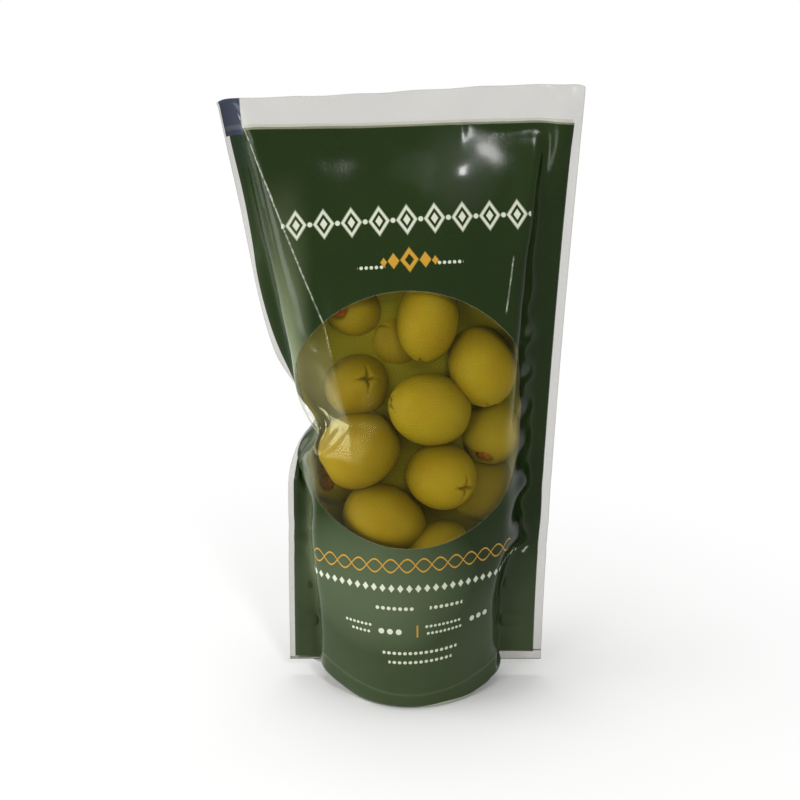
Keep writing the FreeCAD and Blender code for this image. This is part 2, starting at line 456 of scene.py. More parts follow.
# %% Drop what the shared edges leave over
# The back panel's own edge points go unused. At the gusset's two ends a square's neighbouring corners are
# one point, so one of them is dropped and the square becomes a triangle.
used = np.zeros(len(points), bool)
used[np.vstack(faces)] = True
corners = (np.cumsum(used) - 1)[np.vstack(faces)]
kept = corners != np.roll(corners, -1, axis=1)
loops = np.split(corners[kept], np.cumsum(kept.sum(1))[:-1])
bag = make_piece("film_bag", points[used], loops)
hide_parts("pouch")
bag.data.polygons.foreach_set("material_index", which.astype(np.int32))
flat_place = np.vstack([np.stack([u.ravel(), v.ravel()], 1)] * 2 + [np.zeros((gusset[0].size, 2))])
places = flat_place[used][corners[kept]] / (WIDTH, FLAT_HEIGHT) + (0.5, 0)
bag.data.uv_layers.new(name="print").data.foreach_set("uv", places.astype(np.float32).ravel())
bag.data.update()
smooth = bag.modifiers.new("round", "SUBSURF")
smooth.levels = smooth.render_levels = 1

# %% [markdown]
# ## The olives
# Green olives are egg-shaped, about 27 by 23 mm, and no two are alike. One end has the round hole that
# the stone left, with the pimiento in it, and the other has a small cross where the tool went in. Those
# by the window are listed one by one, where the real ones show. The rest settle by pushing each other apart.

# %% One olive's surface, and its plug's
RINGS, SPOKES = 44, 56
PLUG_RINGS, PLUG_SPOKES = 12, 20
PIT_DEPTH, PIT_RADIUS = 3.4, 2.9
CROSS_DEPTH, CROSS_REACH, SLIT = 1.7, 3.9, 0.7
PLUG_RADIUS = 3.05


def olive_surface(length, thickness, lumps):
    """
    An egg turned about its long axis, with a pit at the stuffed end and a slit cross at the other.

    The radius is half the thickness times sin(angle)^0.92, a few percent larger towards one end, with two
    slow waves round it. Rings crowd towards the ends. The pit is exp(-(radius / its own)^4), and the
    cross is a narrow Gaussian about two lines through the tip, with a raised ring of skin round it.
    """
    s = np.linspace(0, 1, RINGS)[:, None]
    angle = np.pi * (s - 0.11 * np.sin(2 * np.pi * s))
    turn = np.linspace(0, 2 * np.pi, SPOKES, endpoint=False)[None]
    wave = 1 + 0.018 * np.sin(2 * turn + lumps[0]) + 0.014 * np.sin(3 * turn + lumps[1]) * np.sin(angle)
    radius = thickness / 2 * np.sin(angle) ** 0.92 * (1 + 0.05 * lumps[2] * np.cos(angle)) * wave
    along = length / 2 * np.cos(angle) + 0 * turn
    pit = PIT_DEPTH * np.exp(-((radius / PIT_RADIUS) ** 4))
    slits = np.exp(-((radius * np.sin(2 * turn + lumps[0]) / SLIT) ** 2))
    cross = CROSS_DEPTH * (slits * np.exp(-((radius / CROSS_REACH) ** 4)))
    cross = cross + 0.9 * np.exp(-((radius / 1.1) ** 2)) - 0.35 * np.exp(-(((radius - 2.8) / 1.2) ** 2))
    along = along - np.where(angle < np.pi / 2, pit, -cross)
    return np.stack([along, radius * np.cos(turn), radius * np.sin(turn)], -1).reshape(-1, 3)


def plug_surface(length, turns):
    """The pimiento: a flattened ball in the pit, with the crease of a folded strip across it."""
    s = np.linspace(0, np.pi, PLUG_RINGS)[:, None]
    turn = np.linspace(0, 2 * np.pi, PLUG_SPOKES, endpoint=False)[None]
    radius = PLUG_RADIUS * np.sin(s) ** 0.8 + 0 * turn
    crease = 0.5 * np.exp(-((radius * np.sin(turn + turns) / 0.5) ** 2))
    along = length / 2 - 2.6 + 2.1 * np.cos(s) - crease
    return np.stack([along, radius * np.cos(turn), radius * np.sin(turn)], -1).reshape(-1, 3)


def facing(direction):
    """A rotation whose first column is the given direction."""
    first = np.array(direction, float) / np.linalg.norm(direction)
    third = np.cross(first, (0.0, 1.0, 0.2))
    third /= np.linalg.norm(third)
    return np.stack([first, np.cross(third, first), third], 1)


# %% Where the olives lie
# Each row is x and z of the middle, how far it stands behind the place where it would touch the front
# film, the length, the thickness, and the way that the stuffed end points.
BY_THE_WINDOW = (
    (-16.5, 138.0, 6.0, 23.0, 19.5, (-0.50, -0.82, 0.15)),
    (8.5, 134.0, 0.5, 29.0, 20.5, (0.10, 0.25, 1.00)),
    (-2.5, 127.5, 11.0, 25.0, 22.0, (0.60, 0.50, -0.50)),
    (-22.0, 107.5, 4.5, 24.0, 22.0, (-0.35, 0.85, -0.45)),
    (29.0, 118.0, 1.0, 27.5, 22.8, (-0.25, 0.40, 0.90)),
    (8.6, 106.0, 0.0, 28.0, 24.0, (0.95, 0.20, -0.25)),
    (33.5, 96.0, 1.0, 25.0, 21.5, (-0.30, -0.70, -0.65)),
    (-15.2, 91.0, 0.0, 28.0, 25.5, (-0.85, -0.25, -0.45)),
    (15.6, 82.8, 0.0, 25.0, 22.5, (-0.64, 0.76, 0.05)),
    (-7.0, 67.2, 0.0, 29.0, 23.0, (-0.92, 0.30, 0.25)),
    (14.5, 54.8, 1.0, 25.0, 20.5, (0.85, 0.30, 0.40)),
    (30.0, 73.0, 6.0, 26.0, 22.5, (0.88, 0.35, 0.30)),
    (-23.0, 74.5, 8.0, 20.0, 17.0, (-0.45, -0.85, 0.25)),
)
DEEPER = 13  # olives that lie deeper in the pouch
FILM_GAP, SLACK = 0.7, np.array([1.5, 60.0, 1.5])  # an olive by the window may slip sideways by 1.5 mm
CLOSE, SINK = 0.96, (0, 0, 0.05)  # they dent each other by 4%, and sink a little each time

table = np.array([row[:5] for row in BY_THE_WINDOW])
shown = len(table)
middles = np.zeros((shown + DEEPER, 3))
middles[:shown, 0], middles[:shown, 2] = table[:, 0], table[:, 1]
middles[shown:] = random.uniform((-20, 0, 20), (30, 14, 110), (DEEPER, 3))
lengths = np.concatenate([table[:, 3], random.uniform(24.5, 28.5, DEEPER)])
widths = np.concatenate([table[:, 4], random.uniform(21.5, 24.5, DEEPER)])
ways = np.vstack([[row[5] for row in BY_THE_WINDOW], random.normal(0, 1, (DEEPER, 3))])
ways /= np.linalg.norm(ways, axis=1, keepdims=True)
wall = film[:, :, ::2, ::3].reshape(3, -1).T


def reach_along(direction):
    """How far each olive reaches in a direction: half its length and thickness, by Pythagoras."""
    share = np.einsum("i...k,ik->i...", direction, ways) ** 2
    long, short = (size.reshape(-1, *[1] * (share.ndim - 1)) / 2 for size in (lengths, widths))
    return np.sqrt(long**2 * share + short**2 * (1 - share))


def push_from_film(middles):
    """The move that takes each olive off the nearest point of the film, if it is too near."""
    away = middles[:, None] - wall[None]
    distance = np.linalg.norm(away, axis=-1)
    way = away / distance[..., None]
    lack = reach_along(way) + FILM_GAP - distance
    worst = lack.argmax(1)
    each = np.arange(len(middles))
    return np.clip(lack[each, worst], 0, None)[:, None] * way[each, worst]


start_places = middles[:shown].copy()
for _ in range(150):  # the olives by the window come forward until they touch the film
    middles[:shown, 1] -= 0.3
    middles[:shown] += push_from_film(middles)[:shown]
    middles[:shown] = np.clip(middles[:shown], start_places - SLACK, start_places + SLACK)
middles[:shown, 1] += table[:, 2]
furthest = middles[:shown, 1] + 3
itself = np.eye(len(middles))
yielding = np.where(np.arange(len(middles)) < shown, 0.3, 1)[:, None]  # those in front yield less
for _ in range(250):  # then the others settle behind and under them
    gap = middles[:, None] - middles[None]
    distance = np.linalg.norm(gap, axis=-1) + itself
    way = gap / distance[..., None]
    reach = reach_along(way)
    lack = np.clip(CLOSE * (reach + reach.T) - distance, 0, None) * (1 - itself)
    push = (way * lack[..., None]).sum(1)
    middles[shown:] += 0.3 * push[shown:] - SINK
    middles[:shown, 1] += 0.1 * np.clip(push[:shown, 1], 0, None)
    middles[:shown, 1] = np.minimum(middles[:shown, 1], furthest)
    middles += 0.5 * push_from_film(middles) * yielding
    middles[:, 2] = np.clip(middles[:, 2], 15, 142)
for _ in range(120):  # and last, every olive comes clear of the film
    last_push = push_from_film(middles)
    middles += 0.5 * last_push
overlap = np.linalg.norm(last_push, axis=1).max().round(1)
print("olives:", len(middles), "and the film is still at most", overlap, "mm too near one")

# %% Olives and pimientos as two joined meshes
GRID, GRID_LEFT = 2.0, -60


def film_in_front():
    """The front film's y on a grid of 2 mm over x and z, each from the nearest point of the film."""
    x, z = np.arange(GRID_LEFT, 62, GRID), np.arange(0, 212, GRID)
    points = film[:, 0, ::2, ::2].reshape(3, -1)
    apart = (x[:, None, None] - points[0]) ** 2 + (z[None, :, None] - points[2]) ** 2
    return points[1][apart.argmin(-1)]


FILM_IN_FRONT = film_in_front()
CLEAR_DEPTH, MURKY_DEPTH = 0.5, 13.0


def murk_at(points):
    """How cloudy the brine in front makes a point look: 1 - exp(-(depth behind the film) / 13 mm)."""
    last_x, last_z = np.array(FILM_IN_FRONT.shape) - 1.01
    x, z = np.clip((points[:, 0] - GRID_LEFT) / GRID, 0, last_x), np.clip(points[:, 2] / GRID, 0, last_z)
    i, j, s, t = x.astype(int), z.astype(int), x % 1, z % 1
    near = FILM_IN_FRONT[i, j] * (1 - s) * (1 - t) + FILM_IN_FRONT[i + 1, j] * s * (1 - t)
    near = near + FILM_IN_FRONT[i, j + 1] * (1 - s) * t + FILM_IN_FRONT[i + 1, j + 1] * s * t
    return 1 - np.exp(-np.clip(points[:, 1] - near - CLEAR_DEPTH, 0, None) / MURKY_DEPTH)


def join_all(surfaces, rings, spokes, name):
    """One mesh of many surfaces of the same make, whose end rings have closed to a point."""
    step = rings * spokes
    faces = np.vstack([ring_faces(rings, spokes)[:, ::-1] + step * k for k in range(len(surfaces))])
    piece = make_piece(name, np.vstack(surfaces), faces)
    set_attribute(piece, "murk", murk_at(np.vstack(surfaces)))
    set_attribute(piece, "tone", np.repeat(random.uniform(-1, 1, len(surfaces)), step))
    close_poles(piece)
    return piece


olive_surfaces, plug_surfaces = [], []
for middle, length, width, way in zip(middles, lengths, widths, ways):
    lumps = random.uniform((0, 0, -1), (6, 6, 1))
    turned = facing(way).T
    olive_surfaces.append(olive_surface(length, width, lumps) @ turned + middle)
    plug_surfaces.append(plug_surface(length, lumps[1]) @ turned + middle)
olives = join_all(olive_surfaces, RINGS, SPOKES, "olives")
pimientos = join_all(plug_surfaces, PLUG_RINGS, PLUG_SPOKES, "pimiento_plugs")

# %% [markdown]
# ## The brine
# The brine is cloudy, so an olive deep inside is a dim shape and one at the film is sharp. A real volume
# is slow and is lost when the model is stored. So the brine is an opaque body whose near side passes
# through the middles of the olives at the window. It hides what is behind them, and none of their
# outlines. The cloud in front of it is painted on the olives, as a number that grows with their depth.

# %% The body of brine
BRINE_INSET, BRINE_GAP = 16.0, 1.5
BRINE_BOTTOM, BRINE_TOP = 5.0, 152.0
BRINE_LEFT, BRINE_RIGHT, BRINE_EDGE = -47, 46, 8


def brine_surface():
    """
    The film's own shape drawn inwards. Each ring runs along the front, then back along the rear.

    Both sides stay a small gap inside the film, and meet between the panels where these nearly touch.
    The front side stands back further, by the inset or by 45% of the room where that is less, but not
    at its left and right edge. The first and the last ring shrink to their middle, which closes the ends.
    """
    height = film[2, 0, :, MIDDLE_COLUMN]
    rows = (height > BRINE_BOTTOM) & (height < BRINE_TOP)
    columns = np.abs(u[0]) < WIDTH / 2 - SIDE_WELD - 2
    middle = film.mean(1, keepdims=True)
    share = np.clip((film[1, 1] - film[1, 0] - 1) / 4, 0, 1)
    inner = (middle + share * (film - BRINE_GAP * outward(film) - middle))[:, :, rows][..., columns]
    front, back = inner[:, 0], inner[:, 1]
    from_left, from_right = u[0, columns] - BRINE_LEFT, BRINE_RIGHT - u[0, columns]
    beside = np.clip(from_left / BRINE_EDGE, 0, 1) * np.clip(from_right / BRINE_EDGE, 0, 1)
    front[1] += beside * np.minimum(BRINE_INSET, 0.45 * np.clip(back[1] - front[1], 0, None))
    rings = np.concatenate([front, back[:, :, ::-1]], 2)
    centre = rings[:, [0, -1]].mean(2, keepdims=True) + 0 * rings[:, [0, -1]]
    return np.concatenate([centre[:, :1], rings, centre[:, 1:]], 1)


rings = brine_surface()
brine = make_piece("brine", rings.reshape(3, -1).T, ring_faces(*rings.shape[1:]))
close_poles(brine)

# %% [markdown]
# ## Writing materials as sums
# A finish is a sum worked out at every point: this much green here, a little cloud there. Shader nodes
# do such sums, but they are hard to read. So a small class wraps a node's socket, and plus, minus, times
# and the like on it add the Math nodes. Any other node comes from one method.

# %% The class that wraps a socket
class Wire:
    """The value that a node's socket carries, in one material's tree."""

    def __init__(self, tree, socket):
        self.tree, self.socket = tree, socket

    def node(self, kind, settings=None, **sockets):
        """Adds a node of a kind. Settings come first, then sockets by name, with _ for a space, or i0, i1."""
        made = self.tree.nodes.new(kind)
        for name, value in (settings or {}).items():
            setattr(made, name, value)
        for name, value in sockets.items():
            numbered = name[0] == "i" and name[1:].isdigit()
            socket = made.inputs[int(name[1:]) if numbered else name.replace("_", " ")]
            if isinstance(value, Wire):
                self.tree.links.new(value.socket, socket)
            else:
                socket.default_value = value
        return made

    def wire(self, socket):
        """Another socket of the same tree, wrapped."""
        return Wire(self.tree, socket)

    def maths(self, operation, *values):
        """A Math node on wires and plain numbers."""
        inputs = {f"i{place}": value for place, value in enumerate(values)}
        return self.wire(self.node("ShaderNodeMath", {"operation": operation}, **inputs).outputs[0])

    def __add__(self, other):
        return self.maths("ADD", self, other)

    def __sub__(self, other):
        return self.maths("SUBTRACT", self, other)

    def __rsub__(self, other):
        return self.maths("SUBTRACT", other, self)

    def __mul__(self, other):
        return self.maths("MULTIPLY", self, other)

    def __truediv__(self, other):
        return self.maths("DIVIDE", self, other)

    def __pow__(self, other):
        return self.maths("POWER", self, other)

    def __abs__(self):
        return self.maths("ABSOLUTE", self)

    __radd__, __rmul__ = __add__, __mul__

    def sine(self):
        return self.maths("SINE", self)

    def least(self, other):
        """The smaller of the two."""
        return self.maths("MINIMUM", self, other)

    def most(self, other):
        """The larger of the two."""
        return self.maths("MAXIMUM", self, other)

    def wrapped(self, period):
        """The distance to the nearest whole period, with its sign: it runs from minus to plus half."""
        return self.maths("WRAP", self, period / 2, -period / 2)

    def above(self, edge, soft=0.15):
        """0 below an edge and 1 above it, with a smooth step twice soft wide."""
        sockets = {"Value": self, "From_Min": edge - soft, "From_Max": edge + soft}
        made = self.node("ShaderNodeMapRange", {"interpolation_type": "SMOOTHSTEP"}, **sockets)
        return self.wire(made.outputs["Result"])

    def below(self, edge, soft=0.15):
        return 1 - self.above(edge, soft)

    def between(self, start, end, soft=0.15):
        return self.above(start, soft) * self.below(end, soft)

    def mix(self, first, second):
        """A colour between two, by this wire as the share of the second."""
        sockets = {"i0": self, "i6": first, "i7": second}
        made = self.node("ShaderNodeMix", {"data_type": "RGBA"}, **sockets)
        return self.wire(made.outputs[2])


def colour(red, green, blue):
    """An sRGB colour, each part from 0 to 255, as Blender's linear one."""
    part = np.array([red, green, blue]) / 255
    linear = np.where(part <= 0.04045, part / 12.92, ((part + 0.055) / 1.055) ** 2.4)
    return (*linear.tolist(), 1.0)


def new_material(name, **numbers):
    """A material with one Principled shader, whose constant sockets are given as plain numbers."""
    material = bpy.data.materials.new(name)
    material.use_nodes = True
    shader = material.node_tree.nodes["Principled BSDF"]
    for socket, value in numbers.items():
        shader.inputs[socket.replace("_", " ")].default_value = value
    return material, shader, Wire(material.node_tree, None)


def feed(start, shader, **wires):
    """Links wires to a shader's sockets by name."""
    for socket, wire in wires.items():
        start.tree.links.new(wire.socket, shader.inputs[socket.replace("_", " ")])


def object_place(start):
    """The place on a piece in metres, as a wire that carries a vector."""
    return start.wire(start.node("ShaderNodeTexCoord").outputs["Object"])


def noise_at(start, place, scale, detail=2.0):
    """Blender's noise, from about 0 to 1, at a place. Scale is in waves a metre."""
    made = start.node("ShaderNodeTexNoise", None, Vector=place, Scale=scale, Detail=detail)
    return start.wire(made.outputs["Fac"])


def bumped(start, height, strength, distance):
    """The normal, tilted by the slope of a height. A height of 1 stands for the distance, in metres."""
    made = start.node("ShaderNodeBump", None, Height=height, Strength=strength, Distance=distance)
    return start.wire(made.outputs[0])


# %% [markdown]
# ## The printed film
# The green ink sits on the inside of glossy clear film. It stops short of the edges, and leaves a round
# window. The print's other places are filled with plain shapes: a band of lozenges, a row of gold ones,
# a twist of two waves and rows of beads. They are worked out from the film's flat map, so they bend with
# the film, as print does. Clear film mirrors a little and hides almost nothing, so it is a mirror that
# is nearly all see-through, and more so the more squarely one looks at it.

# %% Places on the flat film, in millimetres
WINDOW_MIDDLE, WINDOW_RADIUS = (-1.95, 105.2), 43.0
WINDOW_SQUEEZE = 0.975  # the window is a little wider than it is high
GREEN_TOP, GREEN_SLOPE = 201.3, 0.023  # where the green ends at the top, a little lower at the right
FOOT_MIDDLE, FOOT_HALF = 0.5, 40.5  # the part of the film's width that the foot takes up

# %% Inks and clear film as colours
# The third is pale: a painted reflection of the floor on the belly, and the real weld line of the foot.
GREEN, GREEN_LIGHT, PALE_SHEEN_AND_WELD = colour(10, 27, 0), colour(28, 46, 3), colour(88, 101, 74)
CREAM, GOLD, NAVY = colour(196, 200, 180), colour(176, 134, 44), colour(48, 54, 72)
CLEAR, PALE_EDGE, GLINT = colour(138, 134, 122), colour(150, 158, 122), colour(200, 206, 186)
# The second is a painted sheen for the left fold.
TINT, SIDE_SHEEN = colour(196, 192, 140), colour(142, 152, 118)
# The first is painted shade for the valley by the right weld, the second a painted reflection for the
# window's left part.
VALLEY_SHADE, REFLECTED_HAZE = colour(3, 11, 1), colour(200, 198, 152)


def flat_map(start):
    """u and v of the film as wires, in millimetres, from the piece's own map."""
    place = start.wire(start.node("ShaderNodeUVMap", {"uv_map": "print"}).outputs[0])
    parts = start.node("ShaderNodeSeparateXYZ", None, Vector=place)
    return (start.wire(parts.outputs[0]) - 0.5) * WIDTH, start.wire(parts.outputs[1]) * FLAT_HEIGHT


def above_green(u, v):
    """How far a place is above the green's top edge."""
    return v - GREEN_TOP + u * GREEN_SLOPE


def beside_foot(u):
    """How far a place is to the side of the foot. It is less than 0 on the foot itself."""
    return abs(u - FOOT_MIDDLE) - FOOT_HALF


def ring_distance(u, v, middle):
    """The distance of a place from a middle."""
    return ((u - middle[0]) * (u - middle[0]) + (v - middle[1]) * (v - middle[1])) ** 0.5


def lozenge(u, v, half_width, half_height):
    """1 inside a lozenge: where the two shares of its half sizes add up to less than 1."""
    return (abs(u) / half_width + abs(v) / half_height).below(1, 0.12)


def bar(u, v, middle, size):
    """1 inside an upright rectangle."""
    half = size[0] / 2, size[1] / 2
    across = u.between(middle[0] - half[0], middle[0] + half[0])
    return across * v.between(middle[1] - half[1], middle[1] + half[1])


# %% The cream and gold print
BAND_HEIGHT, BAND_CELL, BAND_SHIFT = 171.2, 9.0, 0.3
CHAIN_HEIGHT, CHAIN_CELL = 48.0, 3.0
ROW_HEIGHT, ROW_MIDDLE = 158.3, 0.5
TWIST_HEIGHT, TWIST_WAVE, TWIST_SWING = 56.3, 11.0, 2.3
# Each row of beads: its middle, its length and the radius of a bead.
BEADS = (
    ((-12.0, 156.3), 9.0, 0.55),
    ((13.5, 156.9), 9.0, 0.55),
    ((-7.0, 40.6), 13.0, 0.65),
    ((11.0, 40.6), 12.0, 0.65),
    ((-20.0, 33.7), 10.0, 0.5),
    ((-19.0, 31.1), 7.0, 0.5),
    ((-8.5, 32.0), 9.0, 1.0),
    ((10.0, 33.7), 13.0, 0.5),
    ((10.5, 31.1), 13.0, 0.5),
    ((24.5, 32.4), 9.0, 1.0),
    ((2.0, 24.0), 26.0, 0.6),
    ((2.0, 20.4), 22.0, 0.6),
)


def cream_print(u, v):
    """The band of hollow lozenges and dots near the top, and the chain and rows of beads lower down."""
    height = v - BAND_HEIGHT
    along = (u - BAND_SHIFT).wrapped(BAND_CELL)
    dots = ring_distance((u - BAND_SHIFT + BAND_CELL / 2).wrapped(BAND_CELL), height, (0, 0)).below(0.8)
    hollow = lozenge(along, height, 3.4, 4.8) * (1 - lozenge(along, height, 2.3, 3.3))
    band = hollow.most(lozenge(along, height, 1.2, 1.8)).most(dots) * u.between(-40.5, 41)
    chain = lozenge((u - 1).wrapped(CHAIN_CELL), v - CHAIN_HEIGHT, 1.05, 1.45) * u.between(-46.5, 48.5)
    beads = band.most(chain)
    for middle, length, radius in BEADS:
        bead = ring_distance((u - middle[0]).wrapped(radius * 3), v, (0, middle[1])).below(radius, 0.12)
        beads = beads.most(bead * u.between(middle[0] - length / 2, middle[0] + length / 2))
    return beads


def gold_print(u, v):
    """The row of lozenges over the window, the twist of two waves under it, and an upright bar."""
    height, across = v - ROW_HEIGHT, u - ROW_MIDDLE
    row = lozenge(across, height, 3.0, 4.0) * (1 - lozenge(across, height, 1.5, 2.0))
    for side in (-1, 1):
        row = row.most(lozenge(across - side * 5.2, height + 0.2, 1.9, 2.6))
        row = row.most(lozenge(across - side * 8.4, height + 0.5, 1.1, 1.5))
    centre_line = v - TWIST_HEIGHT - u * 0.03
    swing = (u * (2 * np.pi / TWIST_WAVE)).sine() * TWIST_SWING
    strands = abs(centre_line - swing).below(0.27, 0.12).most(abs(centre_line + swing).below(0.27, 0.12))
    return row.most(strands * u.between(-38, 37)).most(bar(u, v, (0.8, 32.2), (0.5, 4.4)))


# %% [markdown]
# ## Creases, painted sheen and painted shade
# A sharp fold leaves a thin broken white line on film, and the fold catches light too, so a crease is
# partly whitened film and partly a painted glint. A pale band along the left fold is a painted sheen,
# light that the film mirrors there, and a dark band in the valley by the right weld is painted shade.
# The mesh gives the folds their shape, but not these tones, so soft bands and lines on the flat map add
# them where the relaxed film has its folds. Only the front gets them.

# %% Creases, painted reflection and sheen, and painted shade
CREASES = (((-52.5, 207), (-28.5, 138)), ((31.5, 140), (34.5, 157)), ((-28.5, 138), (-27.0, 128)))
PALE_STRIP = 1.6  # above the green, the ink thins out over this height


def crease_line(u, v, first, last):
    """1 on a straight fold line between two places: near it across, and between its ends along it."""
    along = np.subtract(last, first)
    length = float(np.hypot(*along))
    east, north = (along / length).tolist()
    run = (u - first[0]) * east + (v - first[1]) * north
    off = (u - first[0]) * north - (v - first[1]) * east
    return abs(off).below(0.22, 0.2) * run.between(0, length, 1.5)


def green_with_belly_sheen(u, v, cloud):
    """The green in slow clouds, with a painted reflection of the pale floor in an oval on the belly, and a
    fainter one under it.
    """
    belly = ((u + 13) / 30) ** 2.0 + ((v - 46) / 24) ** 2.0
    # The pale oval is a painted reflection of the floor on the lower film.
    belly_sheen = (0.75 - 0.45 * belly).most(0.3 * v.below(45, 25)) * (0.6 + 0.6 * cloud)
    return belly_sheen.most(0).mix(cloud.mix(GREEN, GREEN_LIGHT), PALE_SHEEN_AND_WELD)


def front_sheen_shade_and_edge(u, v, cloud, tone):
    """The front's green with a painted sheen along the left fold, painted shade in a valley, and pale at the
    top.
    """
    fold = abs(u + 42.5 + (134 - v) * 0.05).below(6, 5) * v.between(34, 180, 12)
    # A painted sheen along the left fold: light that the film mirrors there.
    side_sheen = fold * (0.14 + 0.5 * v.below(146, 24) - 0.3 * v.below(100, 8)) * (0.5 + 0.6 * cloud)
    # Painted shade in the valley beside the right weld.
    valley_shade = abs(u - 42.3).below(2.4, 1.6) * v.between(30, 118, 10)
    tone = (valley_shade * 0.75).mix(side_sheen.mix(tone, SIDE_SHEEN), VALLEY_SHADE)
    return (above_green(u, v).between(0, PALE_STRIP, 0.1) * 0.9).mix(tone, PALE_EDGE)


# %% The film with its print
INK_GLOSS = 0.15  # ink under film mirrors less than film alone
INK_COVER = 0.985  # ink hides almost all that is behind it


def film_shader(name, print_areas, front):
    """
    The film with its print. print_areas gives the green, cream, gold and navy areas as wires.

    Where there is ink, the film is dark and solid. In the window it is a mirror that is mostly
    see-through: it hides a little, plus half of the power 1.7 of how far it is turned away. In the
    margins, where two films are welded, it hides more. Only the front has a window, creases, a painted
    sheen and painted shade.
    """
    material, shader, start = new_material(
        name, IOR=1.5, Specular_IOR_Level=INK_GLOSS, Coat_Roughness=0.14
    )
    u, v = flat_map(start)
    place = object_place(start)
    green, cream, gold, navy = print_areas(u, v)
    cloud = noise_at(start, place, 28.0, 3.0)
    foot = beside_foot(u).below(0, 0.8)
    weld_line = abs(v - 7 - (u - 6) * (u - 6) * 0.0035) + 9 * (1 - foot)
    tone = green_with_belly_sheen(u, v, cloud)
    hole = creases = swollen = green * 0
    if front:
        hole = ring_distance(u * WINDOW_SQUEEZE, v, WINDOW_MIDDLE).below(WINDOW_RADIUS, 0.2)
        swollen = ring_distance(u, v * 0.8, (18, 149)).below(9, 8)  # an oval over the swelling
        tone = front_sheen_shade_and_edge(u, v, cloud, tone)
        for crease in CREASES:
            creases = creases.most(crease_line(u, v, *crease))
    ink = (green * (1 - hole)).most(navy)
    if front:
        ink = ink.most(0.6 * above_green(u, v).between(0, PALE_STRIP, 0.1) * u.between(-51, 56))
    tone = (weld_line.below(0.45, 0.35) * 0.25).mix(tone, PALE_SHEEN_AND_WELD)
    tone = (navy * 0.9).mix(tone, NAVY)
    tone = (cream * 0.92).mix(tone, CREAM)
    tone = gold.mix(tone, GOLD)
    away = start.wire(start.node("ShaderNodeLayerWeight", None, Blend=0.5).outputs["Facing"])
    clear = (0.016 + 0.5 * away**1.7) * hole + (0.3 + 0.45 * away**3.0) * (1 - hole)
    # A pale haze is painted on the window's left part, for the reflection on the film's facet left of the
    # crease; it hides more there too.
    reflected_haze = (u + 27 - (128 - v) * 0.15).below(0, 0.6) * v.between(97, 134, 8) * hole
    # Along the film's edge over the foot and along the creases, a pale glint is painted; on the creases it is
    # partly whitened film.
    rim = v.below(2.8, 0.3) * foot
    broken = creases * (0.35 + 0.65 * noise_at(start, place, 700.0, 1.0).above(0.5, 0.1))
    clear = clear + reflected_haze * (0.02 + 0.15 * cloud) + rim * 0.35 + broken * 0.25
    clear_tone = (rim * 0.8).mix(reflected_haze.mix(hole.mix(CLEAR, TINT), REFLECTED_HAZE), GLINT)
    tone, clear_tone = (broken * 0.55).mix(tone, GLINT), (broken * 0.5).mix(clear_tone, GLINT)
    crinkle = noise_at(start, place, 330.0, 3.0) * 0.6 + noise_at(start, place, 1100.0, 2.0) * 0.4
    height = crinkle * (0.24 - 0.215 * hole) + weld_line.below(0.5, 0.5) * 0.5 + creases * 0.8
    feed(start, shader, Base_Color=ink.mix(clear_tone, tone), Metallic=hole * 0.75)
    feed(start, shader, Roughness=0.1 + 0.12 * cloud + 0.14 * swollen, Coat_Weight=0.5 * swollen)
    feed(start, shader, Alpha=(ink * INK_COVER).most(clear), Normal=bumped(start, height, 0.35, 0.0006))
    return material


# %% The front and the back
def front_areas(u, v):
    """Green between the margins, which run slightly askew, a navy block, and the other inks on it."""
    low_margin = 1.5 + 0.5 * (u * 0.2).sine() + 2.3 * beside_foot(u).above(0, 0.8)
    green = u.between(-57.6, 56.4) * above_green(u, v).below(0) * (v - low_margin).above(0)
    navy = bar(u, v, (-55.3, 207.3), (7.2, 12.6)).most(bar(u, v, (-53.6, 195.8), (5.6, 11.0)) * 0.12)
    return green, cream_print(u, v) * green, gold_print(u, v), navy


def back_areas(u, v):
    """The back is plain green with a framed blank panel, between clear margins."""
    green = u.between(-56.4, 56.6) * above_green(u, v).below(0.6) * v.above(3)
    frame_line = bar(u, v, (0, 104), (86, 114)) * (1 - bar(u, v, (0, 104), (84, 112)))
    return green, frame_line, green * 0, green * 0


front_print = film_shader("front_print", front_areas, front=True)
back_print = film_shader("back_print", back_areas, front=False)

# %% The gusset's plain green film
gusset_print, shader, start = new_material("gusset_print", IOR=1.5, Specular_IOR_Level=INK_GLOSS)
place = object_place(start)
cloud = noise_at(start, place, 40.0, 3.0)
feed(start, shader, Base_Color=cloud.mix(GREEN, GREEN_LIGHT), Roughness=0.2 + 0.1 * cloud)
feed(start, shader, Normal=bumped(start, noise_at(start, place, 500.0), 0.3, 0.0005))
for material in (front_print, back_print, gusset_print):
    bag.data.materials.append(material)

# %% [markdown]
# ## Olive, pimiento and brine
# Olives in brine are a soft yellow-green with browner blotches and a dull wet sheen. Each has its own
# tone. The cloud in front of the deep ones is a colour that takes over with their depth behind the film,
# which each point carries as a number.

# %% Olive skin
CLOUD, MOST_CLOUD = colour(90, 78, 6), 0.9
WET_GLOSS = 0.06  # under brine, skin hardly mirrors


def attribute(start, name):
    """One of the piece's own numbers as a wire."""
    return start.wire(start.node("ShaderNodeAttribute", {"attribute_name": name}).outputs["Fac"])


def veiled(start, tone):
    """A tone that the cloud takes over with depth."""
    return (attribute(start, "murk") * MOST_CLOUD).mix(tone, CLOUD)


